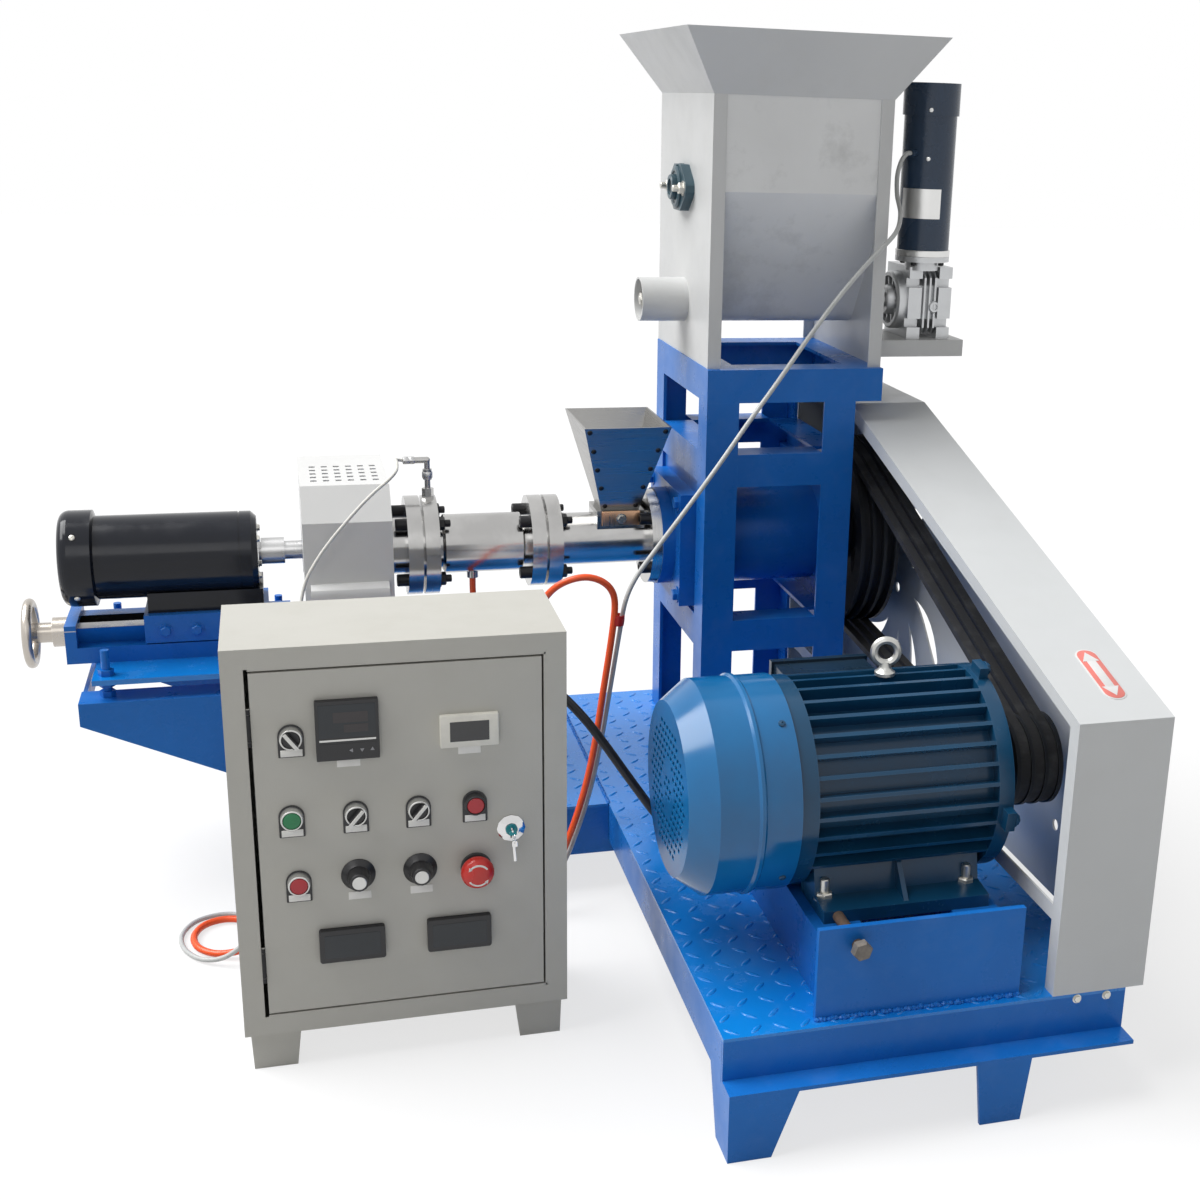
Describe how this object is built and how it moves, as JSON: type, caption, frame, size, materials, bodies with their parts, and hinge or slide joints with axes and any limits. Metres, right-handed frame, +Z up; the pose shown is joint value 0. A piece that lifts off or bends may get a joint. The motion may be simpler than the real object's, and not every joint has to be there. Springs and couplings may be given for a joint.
{
  "type": "feed pellet extruder",
  "caption": "Belt-driven single-screw extruder for feed pellets: hopper feeder on a steel tower, barrel with die and face cutter on a hand-fed slide, main motor, belt guard and control cabinet.",
  "frame": {"origin": "on the floor under the middle of the machine's box", "axes": "+X along the barrel towards the belt guard, +Y away from the front, +Z up"},
  "size_m": [1.44, 1.194, 1.266],
  "materials": {
    "frame_blue": "gloss paint",
    "deck_blue": "gloss paint on checker plate",
    "guard_white": "satin powder coat",
    "hopper_grey": "satin powder coat",
    "stainless": "brushed",
    "bare_steel": "turned",
    "dark_steel": "oiled",
    "motor_teal": "gloss paint",
    "cutter_black": "satin black",
    "feeder_navy": "satin dark",
    "gearbox_aluminium": "cast",
    "cabinet_grey": "textured powder coat",
    "panel_black": "moulded",
    "panel_controls": "moulded",
    "belt_rubber": "matt",
    "rusty_bolt": "rusted",
    "lock_steel": "plated",
    "cable_black": "moulded sheath",
    "cable_orange": "silicone sheath",
    "cable_grey": "moulded sheath",
    "cable_white": "braided sheath"
  },
  "bodies": {
    "machine": {"base_frame": "frame_blue", "deck_plates": "deck_blue", "base_feet": "frame_blue", "tower_posts": "frame_blue", "tower_rails": "frame_blue", "top_frame": "frame_blue", "housing_plates": "frame_blue", "bearing_housing": "frame_blue", "rear_barrel": "bare_steel", "front_barrel": "bare_steel", "die_head": "bare_steel", "temperature_probe": "bare_steel", "feed_funnel": "stainless", "cover_stand": "frame_blue", "slide_base": "frame_blue", "levelling_plate": "frame_blue", "levelling_studs": "bare_steel", "bracket_sides": "frame_blue", "bracket_ends": "frame_blue", "hopper_sides": "hopper_grey", "hopper_trough": "hopper_grey", "hopper_flare": "hopper_grey", "auger_tube": "hopper_grey", "agitator_bearings": "dark_steel", "feed_chain": "dark_steel", "feeder_gearbox": "gearbox_aluminium", "feeder_motor": "feeder_navy", "gearbox_shelf": "hopper_grey", "motor_frame": "motor_teal", "motor_end_bells": "motor_teal", "motor_cowl": "motor_teal", "terminal_box": "motor_teal", "lifting_eye": "motor_teal", "motor_rails": "frame_blue", "motor_base_plate": "frame_blue", "tension_bolts": "rusty_bolt", "drive_belts": "belt_rubber", "guard_wrap": "guard_white", "guard_side": "guard_white", "cabinet_box": "cabinet_grey", "cabinet_feet": "cabinet_grey", "motor_cable": "cable_black", "heater_lead": "cable_orange", "feeder_cable": "cable_grey", "probe_lead": "cable_white"},
    "cabinet_door": {"cabinet_door": "cabinet_grey", "panel_buttons": "panel_controls", "panel_knobs": "panel_black", "panel_meters": "panel_black", "door_lock": "lock_steel"},
    "screw": {"screw_shaft": "bare_steel", "screw_pulley": "dark_steel"},
    "motor_rotor": {"motor_pulley": "dark_steel"},
    "die_cover": {"die_cover": "guard_white"},
    "carriage": {"slide_carriage": "frame_blue", "cutter_motor": "cutter_black"},
    "cutter": {"cutter_shaft": "bare_steel"},
    "handwheel": {"handwheel": "bare_steel"},
    "auger": {"feed_auger": "bare_steel"},
    "agitator": {"agitator": "bare_steel"}
  },
  "joints": [
    {"name": "door_hinge", "type": "hinge", "parent": "machine", "child": "cabinet_door", "pos_m": [-0.396, -0.281, 0.3], "axis": [0, 0, -1], "range_deg": [0, 110]},
    {"name": "screw_spin", "type": "hinge", "parent": "machine", "child": "screw", "pos_m": [0.27, 0.361, 0.494], "axis": [1, 0, 0], "continuous": true},
    {"name": "motor_spin", "type": "hinge", "parent": "machine", "child": "motor_rotor", "pos_m": [0.56, -0.341, 0.362], "axis": [1, 0, 0], "continuous": true},
    {"name": "cover_hinge", "type": "hinge", "parent": "machine", "child": "die_cover", "pos_m": [-0.256, 0.495, 0.494], "axis": [-1, 0, 0], "range_deg": [0, 95]},
    {"name": "carriage_slide", "type": "slide", "parent": "machine", "child": "carriage", "axis": [-1, 0, 0], "range_m": [0, 0.025]},
    {"name": "handwheel_turn", "type": "hinge", "parent": "machine", "child": "handwheel", "pos_m": [-0.698, 0.361, 0.382], "axis": [-1, 0, 0], "range_deg": [0, 1800]},
    {"name": "cutter_spin", "type": "hinge", "parent": "carriage", "child": "cutter", "pos_m": [-0.29, 0.361, 0.494], "axis": [1, 0, 0], "continuous": true},
    {"name": "auger_spin", "type": "hinge", "parent": "machine", "child": "auger", "pos_m": [0.37, 0.361, 0.873], "axis": [1, 0, 0], "continuous": true},
    {"name": "agitator_spin", "type": "hinge", "parent": "machine", "child": "agitator", "pos_m": [0.37, 0.361, 1.042], "axis": [1, 0, 0], "continuous": true}
  ],
  "couplings": [
    {"joint": "motor_spin", "follows": "screw_spin", "ratio": 2.7925},
    {"joint": "handwheel_turn", "follows": "carriage_slide", "rad_per_m": 1256.6},
    {"joint": "agitator_spin", "follows": "auger_spin", "ratio": 0.61538}
  ]
}
